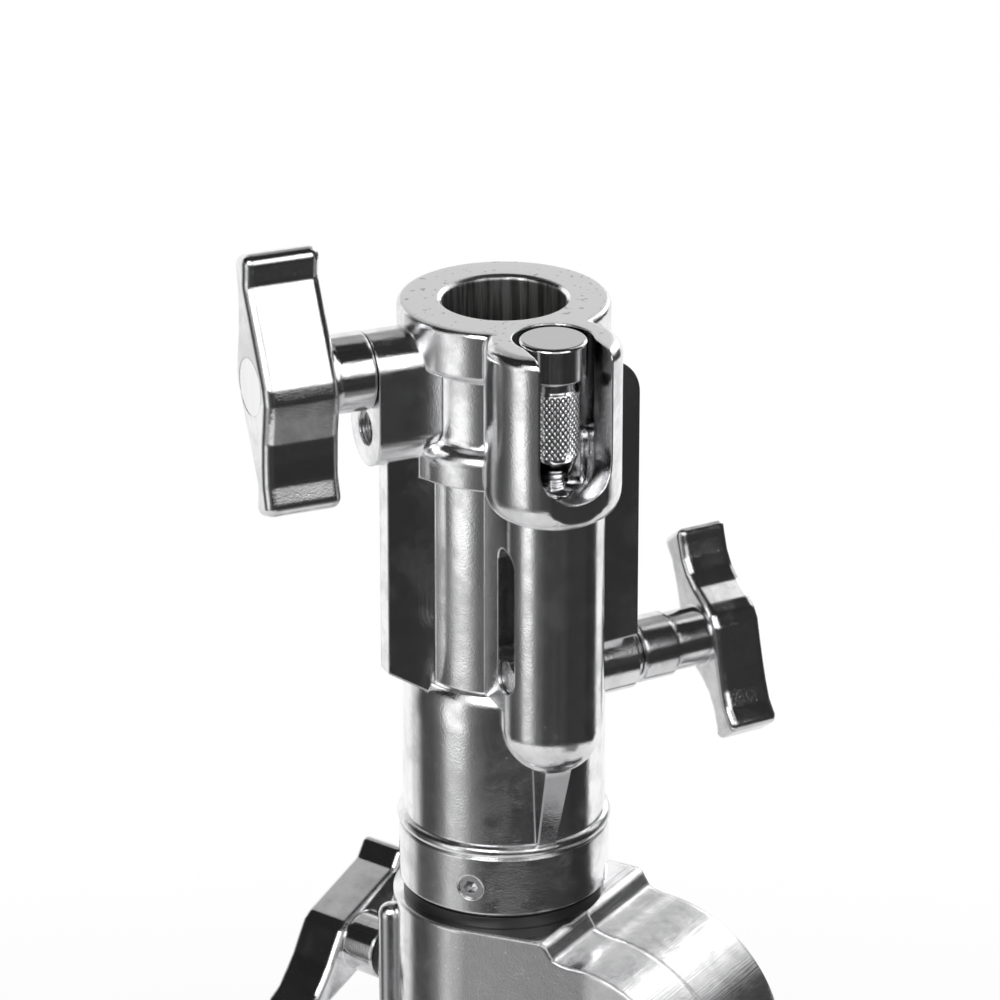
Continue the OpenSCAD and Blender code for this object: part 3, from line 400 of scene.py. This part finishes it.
# Half outlines of the clamp handles in millimetres, as in the CAD model: the rest is turned by 180 degrees
HANDLE_SIDE = [(-17.3, 19.5), (-13.6, 13.7), (4.8, 6.5), (7.2, 4.7), (9.2, 1.4), (11.6, -2.8), (14, -6),
               (16.8, -9.3), (21.7, -12.6)]
BENT_SIDE = [(-9.2, 24.5), (-8, 20.5), (-6.8, 17.1), (-4.6, 13.9), (-1.5, 11.4), (3, 8.9), (5.6, 7),
             (7.4, 4.4), (8.8, -1), (10.2, -6), (11.7, -10.8), (13.2, -14.4), (16.8, -18.8)]
HANDLE_BASE = 50.5
BIG_HANDLE = 61


def rounded_outline(side, scale, corner):
    """Points and outward normals round the outline, with its corners rounded off."""
    most_of_side = 0.45
    degrees_a_step = 9
    whole = [Vector(p) * scale for p in side] + [Vector(p) * -scale for p in side]
    ring = []
    for i, here in enumerate(whole):
        before, after = whole[i - 1], whole[(i + 1) % len(whole)]
        arrive, leave = (here - before).normalized(), (after - here).normalized()
        turn = math.atan2(arrive.x * leave.y - arrive.y * leave.x, arrive.dot(leave))
        shorter = min((here - before).length, (after - here).length)
        reach = min(corner * abs(math.tan(turn / 2)), most_of_side * shorter)
        steps = max(2, round(abs(math.degrees(turn)) / degrees_a_step))
        radius = reach / max(abs(math.tan(turn / 2)), 1e-6)
        bend = 1 if turn > 0 else -1
        centre = here - arrive * reach + bend * radius * Vector((-arrive.y, arrive.x))
        for k in range(steps + 1):
            heading = math.atan2(arrive.y, arrive.x) + turn * k / steps
            outward = Vector((-math.sin(heading), math.cos(heading)))
            ring.append((centre - bend * radius * outward, outward))
    return ring


def clamp_handle(name, body, level, angle, tilt, side, near, depth, neck, cap_r, rim, scale=1, flip=False):
    """A clamp's handle with rounded rims, a bore for its screw and its neck, in millimetres and degrees.
    It spans depth outwards from near along its screw's axis; neck is a row of (start, radius) steps."""
    screw_r = 5.0
    cap_depth = 3
    rim_steps = 6
    round_parts = 64
    sharp_above = math.radians(35)
    turn, out = math.radians(tilt), math.radians(angle)
    across = Vector((-math.sin(out), math.cos(out), 0))
    along = Vector((math.cos(out), math.sin(out), 0))
    bm = bmesh.new()

    def vert(x, y, z):
        x = -x if flip else x
        u, v = x * math.cos(turn) - y * math.sin(turn), x * math.sin(turn) + y * math.cos(turn)
        return bm.verts.new((across * u + Vector((0, 0, 1)) * v + along * z) * MM + Vector((0, 0, level)))

    def skinned(loops):
        for first, second in zip(loops, loops[1:]):
            for i in range(len(first)):
                j = (i + 1) % len(first)
                bm.faces.new((first[i], first[j], second[j], second[i]))

    def circle(r, z):
        turns = [2 * math.pi * i / round_parts for i in range(round_parts)]
        return [vert(r * math.cos(a), r * math.sin(a), z) for a in turns]

    def filled(*loops):
        edges = [bm.edges.get((loop[i - 1], loop[i])) for loop in loops for i in range(len(loop))]
        bmesh.ops.triangle_fill(bm, use_beauty=True, edges=edges)

    # The body of the handle: its wall with both rims, then the stepped bore between its two faces
    ring = rounded_outline(side, scale, 1.25 * rim)
    far = near + depth
    arc = [math.radians(90 * i / rim_steps) for i in range(rim_steps + 1)]
    heights = [(rim * (1 - math.cos(a)), far - rim * (1 - math.sin(a))) for a in reversed(arc)]
    heights += [(rim * (1 - math.cos(a)), near + rim * (1 - math.sin(a))) for a in arc]
    shell = [[vert(*(p - n * inset), z) for p, n in ring] for inset, z in heights]
    skinned(shell)
    seat = far - cap_depth
    bore = [circle(cap_r, far), circle(cap_r, seat), circle(screw_r, seat), circle(screw_r, near)]
    skinned(bore)
    filled(shell[0], bore[0])
    filled(shell[-1], bore[-1])

    # The neck: a turned sleeve whose steps have a rounded start and a chamfered end
    start, end = neck[0][0], neck[-1][0]
    profile = [(screw_r, start)]
    for (low, r), (high, _) in zip(neck, neck[1:]):
        profile += [(r - 0.6, low), (r - 0.18, low + 0.18), (r, low + 0.6), (r, high - 0.5), (r - 0.4, high)]
    profile += [(screw_r, end), (screw_r, start)]
    skinned([circle(r, z) for r, z in profile])

    bmesh.ops.remove_doubles(bm, verts=bm.verts, dist=0.001 * MM)
    bmesh.ops.recalc_face_normals(bm, faces=bm.faces)
    mesh = bpy.data.meshes.new(name)
    bm.to_mesh(mesh)
    bm.free()
    mesh.shade_smooth()
    mesh.set_sharp_from_angle(angle=sharp_above)
    piece = bpy.data.objects.new(name + "_rounded", mesh)
    bpy.context.scene.collection.objects.link(piece)
    mesh.materials.append(nodes[name].data.materials[0])
    weights = piece.modifiers.new("weights", "WEIGHTED_NORMAL")
    weights.keep_sharp = True
    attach(piece, body)
    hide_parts(name)


def photo_handles():
    """The three handles that the photograph shows."""
    clamp_handle("socket_clamp_handle", "socket_clamp", level=TOP - 12.7 * MM, angle=180, tilt=-39,
                 side=HANDLE_SIDE, near=44.0, depth=18.5, neck=[(34.8, 9.18), (44.0, 0)],
                 cap_r=6.69, rim=2.3, scale=BIG_HANDLE / HANDLE_BASE)
    clamp_handle("head_clamp_handle", "head_clamp", level=TOP - 97 * MM, angle=7, tilt=0,
                 side=BENT_SIDE, near=53.9, depth=13.0, neck=[(34.9, 7.9), (44.4, 7.2), (53.9, 0)],
                 cap_r=6.4, rim=1.5, flip=True)
    clamp_handle("riser_lock_handle", "riser_lock", level=TOP - 179.4 * MM, angle=119, tilt=0,
                 side=HANDLE_SIDE, near=44.6, depth=13.0, neck=[(35.3, 7.5), (44.6, 0)],
                 cap_r=6.4, rim=1.5)


# Nodes whose edges are rounded by a modifier, and the widths in millimetres
ROUNDED_EDGES = {
    "leveling_clamp_handle": 1.2,
    "hub_lock_handle": 1.2,
    "winch_body": 1.0,
    "winch_cover": 1.0,
    "head_casting": 0.9,
    "stud": 0.35,
}


def round_off(name, width):
    """Real rounded edges on a CAD node: flat faces are joined first, then every sharp edge is rounded."""
    flat_within, sharp_above = math.radians(0.8), math.radians(28)
    node = nodes[name]
    for face in node.data.polygons:
        face.use_smooth = True
    weld = node.modifiers.new("weld", "WELD")
    weld.merge_threshold = 0.01 * MM
    joined = node.modifiers.new("join_flat", "DECIMATE")
    joined.decimate_type = "DISSOLVE"
    joined.angle_limit = flat_within
    rounding = node.modifiers.new("round", "BEVEL")
    rounding.width = width * MM
    rounding.segments = 4
    rounding.limit_method = "ANGLE"
    rounding.angle_limit = sharp_above
    rounding.use_clamp_overlap = True
    weights = node.modifiers.new("weights", "WEIGHTED_NORMAL")
    weights.keep_sharp = False


# Studio

CAMERA_PLACE = Vector((-0.4826, -1.1368, 1.657))
CAMERA_DOWN = math.radians(22.74)
CAMERA_TURN = math.radians(-22.96)
HEAD_LEVEL = 1.1

# Pieces of a sphere round the head, in degrees to the right of the camera's direction and above the level:
# left, right, low, high, then brightness and distance in metres
SKY_CARDS = {
    "left_sky_card": (-129, -56, 13, 89, 0.02, 2.2),
    "front_sky_card": (-56, 58, 46, 89, 0.03, 2.2),
    "right_sky_card": (58, 113, 13, 89, 0.03, 2.2),
    "rear_cap_card": (113, 231, 63, 89, 0.03, 2.2),
    "rear_grey_card": (138, 228, 30, 63, 0.42, 2.2),
    "drum_card": (104, 142, -14, 15, 0.06, 1.5),
    "low_grey_card": (30, 66, -47, -32, 0.2, 1.35),
    "strip_card": (34, 55, 9.5, 13.5, 0.5, 1.45),
    "window_card": (24, 58, 15, 46, 1.75, 2.1),
}

# The curved wall of dark and grey cards: degrees to the right of the camera's direction, and brightness
WALL_BANDS = [(-129, 0.8), (-119, 0.7), (-108, 0.11), (-102, 0.055), (-84, 0.09), (-73, 0.17), (-64, 0.46),
              (-50, 0.5), (-42, 0.25), (-32, 0.13), (-20, 0.06), (0, 0.045), (24, 0.055), (36, 0.035),
              (60, 0.04), (88, 0.025), (102, 0.03), (113, 0.1)]


def plain_mesh(name, verts, faces, material):
    mesh = bpy.data.meshes.new(name)
    mesh.from_pydata(verts, [], faces)
    mesh.materials.append(material)
    made = bpy.data.objects.new(name, mesh)
    bpy.context.scene.collection.objects.link(made)
    return made


def seen_rays(tree):
    """1 for rays from the camera or off metal or through glass, 0 for diffuse light."""
    path = add(tree, "ShaderNodeLightPath")
    seen = maths(tree, "MAXIMUM", path.outputs["Is Camera Ray"], path.outputs["Is Glossy Ray"])
    return maths(tree, "MAXIMUM", seen, path.outputs["Is Transmission Ray"])


def studio_world(fill):
    world = bpy.data.worlds.new("studio")
    bpy.context.scene.world = world
    world.use_nodes = True
    tree = world.node_tree
    strength = spread(tree, seen_rays(tree), 0, 1, fill, 1.0)
    background = tree.nodes["Background"]
    background.inputs["Color"].default_value = WHITE
    tree.links.new(strength, background.inputs["Strength"])


def pale_floor():
    """A pale floor that keeps the stand's shadow near it and fades to the white background."""
    half = 14
    fade_from, fade_to = 0.9, 2.2
    material, tree, shader, place = new_material("pale_floor", (0.82, 0.82, 0.82), 0.0, 0.6)
    where = place.outputs["Object"]
    radius = add(tree, "ShaderNodeVectorMath", {0: where}, operation="LENGTH").outputs["Value"]
    fade = product(tree, spread(tree, radius, fade_from, fade_to), seen_rays(tree))
    link(tree, bump(tree, noise(tree, where, 140, 3), 0.2 * MM, None, 0.3), shader, "Normal")
    glow = add(tree, "ShaderNodeEmission", {"Color": WHITE, "Strength": 1.0})
    both = add(tree, "ShaderNodeMixShader", {0: fade, 1: shader.outputs[0], 2: glow.outputs[0]})
    tree.links.new(both.outputs[0], tree.nodes["Material Output"].inputs["Surface"])
    corners = [(-half, -half, 0), (half, -half, 0), (half, half, 0), (-half, half, 0)]
    plain_mesh("floor", corners, [(0, 1, 2, 3)], material)


def glowing_material(name, colour_and_strength):
    """A material that glows with the colour and strength that the function makes of its tree and place."""
    material = bpy.data.materials.new(name)
    material.use_nodes = True
    tree = material.node_tree
    where = add(tree, "ShaderNodeTexCoord").outputs["Object"]
    colour, strength = colour_and_strength(tree, where)
    glow = add(tree, "ShaderNodeEmission", {"Color": colour, "Strength": strength})
    tree.links.new(glow.outputs[0], tree.nodes["Material Output"].inputs["Surface"])
    return material


def hide_from_all_but_metal(card):
    card.visible_camera = False
    card.visible_diffuse = False
    card.visible_shadow = False
    card.visible_transmission = False


def dark_wall():
    """A curved wall of dark and grey cards in front of the stand, seen only in the metal.
    Its upper part is lifted, made brighter, round one direction."""
    wall_r = 1.6
    low, high = 0.03, 1.47
    steps = 90
    first, last = math.radians(WALL_BANDS[0][0]), math.radians(WALL_BANDS[-1][0])
    lifted_at, lifted_core, lifted_reach = -57, 8, 20
    lifted_from, lifted_to, lifted_by = 0.3, 0.48, 1.1

    def banded(tree, where):
        split = add(tree, "ShaderNodeSeparateXYZ", {0: where})
        minus_y = product(tree, split.outputs["Y"], -1.0)
        angle = maths(tree, "ARCTAN2", split.outputs["X"], minus_y)
        share = maths(tree, "ADD", maths(tree, "DIVIDE", angle, 2 * math.pi), 0.5)
        ramp = add(tree, "ShaderNodeValToRGB", {"Fac": share})
        stops = ramp.color_ramp.elements
        while len(stops) < len(WALL_BANDS):
            stops.new(0.5)
        for stop, (degrees, level) in zip(stops, WALL_BANDS):
            stop.position = degrees / 360 + 0.5
            stop.color = (level, level, level, 1)
        uneven = spread(tree, noise(tree, where, 3.0, 3), 0.3, 0.7, 0.8, 1.25)
        higher = spread(tree, split.outputs["Z"], lifted_from, lifted_to, 0, lifted_by)
        apart = maths(tree, "ABSOLUTE", maths(tree, "ADD", share, -lifted_at / 360 - 0.5))
        beside = spread(tree, apart, lifted_core / 360, lifted_reach / 360, 1, 0)
        lift = maths(tree, "ADD", product(tree, higher, beside), 1.0)
        return ramp.outputs["Color"], product(tree, uneven, lift)

    verts, faces = [], []
    for i in range(steps + 1):
        a = first + (last - first) * i / steps
        verts += [(wall_r * math.sin(a), -wall_r * math.cos(a), z) for z in (low, high)]
    for i in range(steps):
        a = 2 * i
        faces.append((a, a + 2, a + 3, a + 1))
    wall = plain_mesh("dark_cards", verts, faces, glowing_material("dark_cards", banded))
    wall.rotation_euler.z = CAMERA_TURN
    hide_from_all_but_metal(wall)


def sky_card(name, left, right, low, high, level, reach):
    """A card that is part of a sphere round the head, seen only in the metal."""
    steps = 12
    centre = Vector((0, 0, HEAD_LEVEL))

    def cloudy(tree, where):
        return WHITE, spread(tree, noise(tree, where, 2.5, 3), 0.3, 0.7, 0.8 * level, 1.25 * level)

    verts, faces = [], []
    for i in range(steps + 1):
        up = math.radians(low + (high - low) * i / steps)
        for k in range(steps + 1):
            a = math.radians(left + (right - left) * k / steps) + CAMERA_TURN
            toward = Vector((math.cos(up) * math.sin(a), -math.cos(up) * math.cos(a), math.sin(up)))
            verts.append(centre + reach * toward)
    for i in range(steps):
        for k in range(steps):
            a = i * (steps + 1) + k
            faces.append((a, a + 1, a + steps + 2, a + steps + 1))
    hide_from_all_but_metal(plain_mesh(name, verts, faces, glowing_material(name, cloudy)))


def softbox(name, place, target, size, power):
    light = bpy.data.lights.new(name, "AREA")
    light.shape = "RECTANGLE"
    light.size, light.size_y = size
    light.energy = power
    lamp = bpy.data.objects.new(name, light)
    lamp.location = place
    lamp.rotation_euler = (Vector(target) - Vector(place)).to_track_quat("-Z", "Y").to_euler()
    bpy.context.scene.collection.objects.link(lamp)


def photo_camera():
    """The photograph's view, matched to the ellipses of the ring and the collar."""
    camera = bpy.data.cameras.new("camera")
    camera.lens = 206.64
    camera.sensor_width = 36
    camera.clip_start = 0.05
    camera.clip_end = 60
    holder = bpy.data.objects.new("camera", camera)
    holder.location = CAMERA_PLACE
    holder.rotation_euler = (math.pi / 2 - CAMERA_DOWN, 0, CAMERA_TURN)
    bpy.context.scene.collection.objects.link(holder)
    bpy.context.scene.camera = holder


# Which node wears which finish


def dress():
    """Every node gets its finish. The turned chrome and the steel are returned for the added pieces."""
    cast = cast_chrome("cast_chrome", (0.07, 0.2), 0.9)
    handle = cast_chrome("handle_chrome", (0.05, 0.16), 1.2)
    tube = drawn_chrome("drawn_chrome", 0.06, 0.5)
    bright = drawn_chrome("turned_chrome", 0.04, 0.35)
    steel = turned_metal("turned_steel", (0.6, 0.6, 0.61), 0.22)
    brass = turned_metal("turned_brass", (0.66, 0.52, 0.28), 0.25)
    nylon = moulded("black_nylon", (0.015, 0.015, 0.015), 0.38, 1500, 0.01)
    plastic = moulded("grip_plastic", (0.02, 0.02, 0.021), 0.45, 700, 0.06)
    rubber = moulded("foot_rubber", (0.018, 0.018, 0.018), 0.75, 1100, 0.05)
    lining = moulded("brake_lining", (0.12, 0.09, 0.065), 0.8, 1300, 0.05)
    finishes = {
        head_chrome(): ["head_casting"],
        winch_chrome(): ["winch_body", "winch_cover"],
        handle: ["socket_clamp_handle", "head_clamp_handle", "riser_lock_handle", "leveling_clamp_handle",
                 "hub_lock_handle"],
        cast: ["leg_hub", "lower_hub", "knuckle_a", "knuckle_b", "knuckle_c", "leveling_collar",
               "crank_arm"],
        tube: ["column_tube", "riser_tube", "leg_a", "leg_b", "leg_c", "leveling_tube", "brace_a", "brace_b",
               "brace_c"],
        stud_chrome(): ["stud"],
        bright: ["socket_clamp_screw", "head_clamp_screw", "riser_lock_screw", "leveling_clamp_screw"],
        steel: ["collar_screws", "stud_guide_pin", "cover_screws", "riser_rack", "pinion_shaft",
                "drive_pinion", "ratchet_wheel", "pawl", "pawl_pin", "crank_nut", "crank_grip_bolt",
                "leg_pivot_pins", "brace_pin_a", "brace_pin_b", "brace_pin_c", "lower_hub_pins"],
        brass: ["socket_clamp_pad", "head_clamp_pad", "riser_lock_pad", "leveling_clamp_pad", "hub_lock_pad",
                "shaft_bushes"],
        nylon: ["riser_foot_bush", "riser_guide_bushes", "riser_lock_washer", "column_foot_plug"],
        plastic: ["crank_grip"],
        rubber: ["foot_a", "foot_b", "foot_c"],
        lining: ["brake_discs"],
    }
    for material, names in finishes.items():
        for name in names:
            mesh = nodes[name].data
            mesh.materials.clear()
            mesh.materials.append(material)
    return bright, steel


bright, steel = dress()
knurled_sleeve(bright)
accessory_thread(steel)
studio_world(0.75)
pale_floor()
dark_wall()
for card, (left, right, low, high, level, reach) in SKY_CARDS.items():
    sky_card(card, left, right, low, high, level, reach)
photo_handles()
for casting, width in ROUNDED_EDGES.items():
    round_off(casting, width)
softbox("key_light", (-1.6, -1.5, 2.6), (0, 0, 1.0), (1.2, 1.2), 18)
softbox("rim_light", (1.8, 1.2, 2.2), (0, 0, 0.9), (1.0, 1.4), 12)
photo_camera()
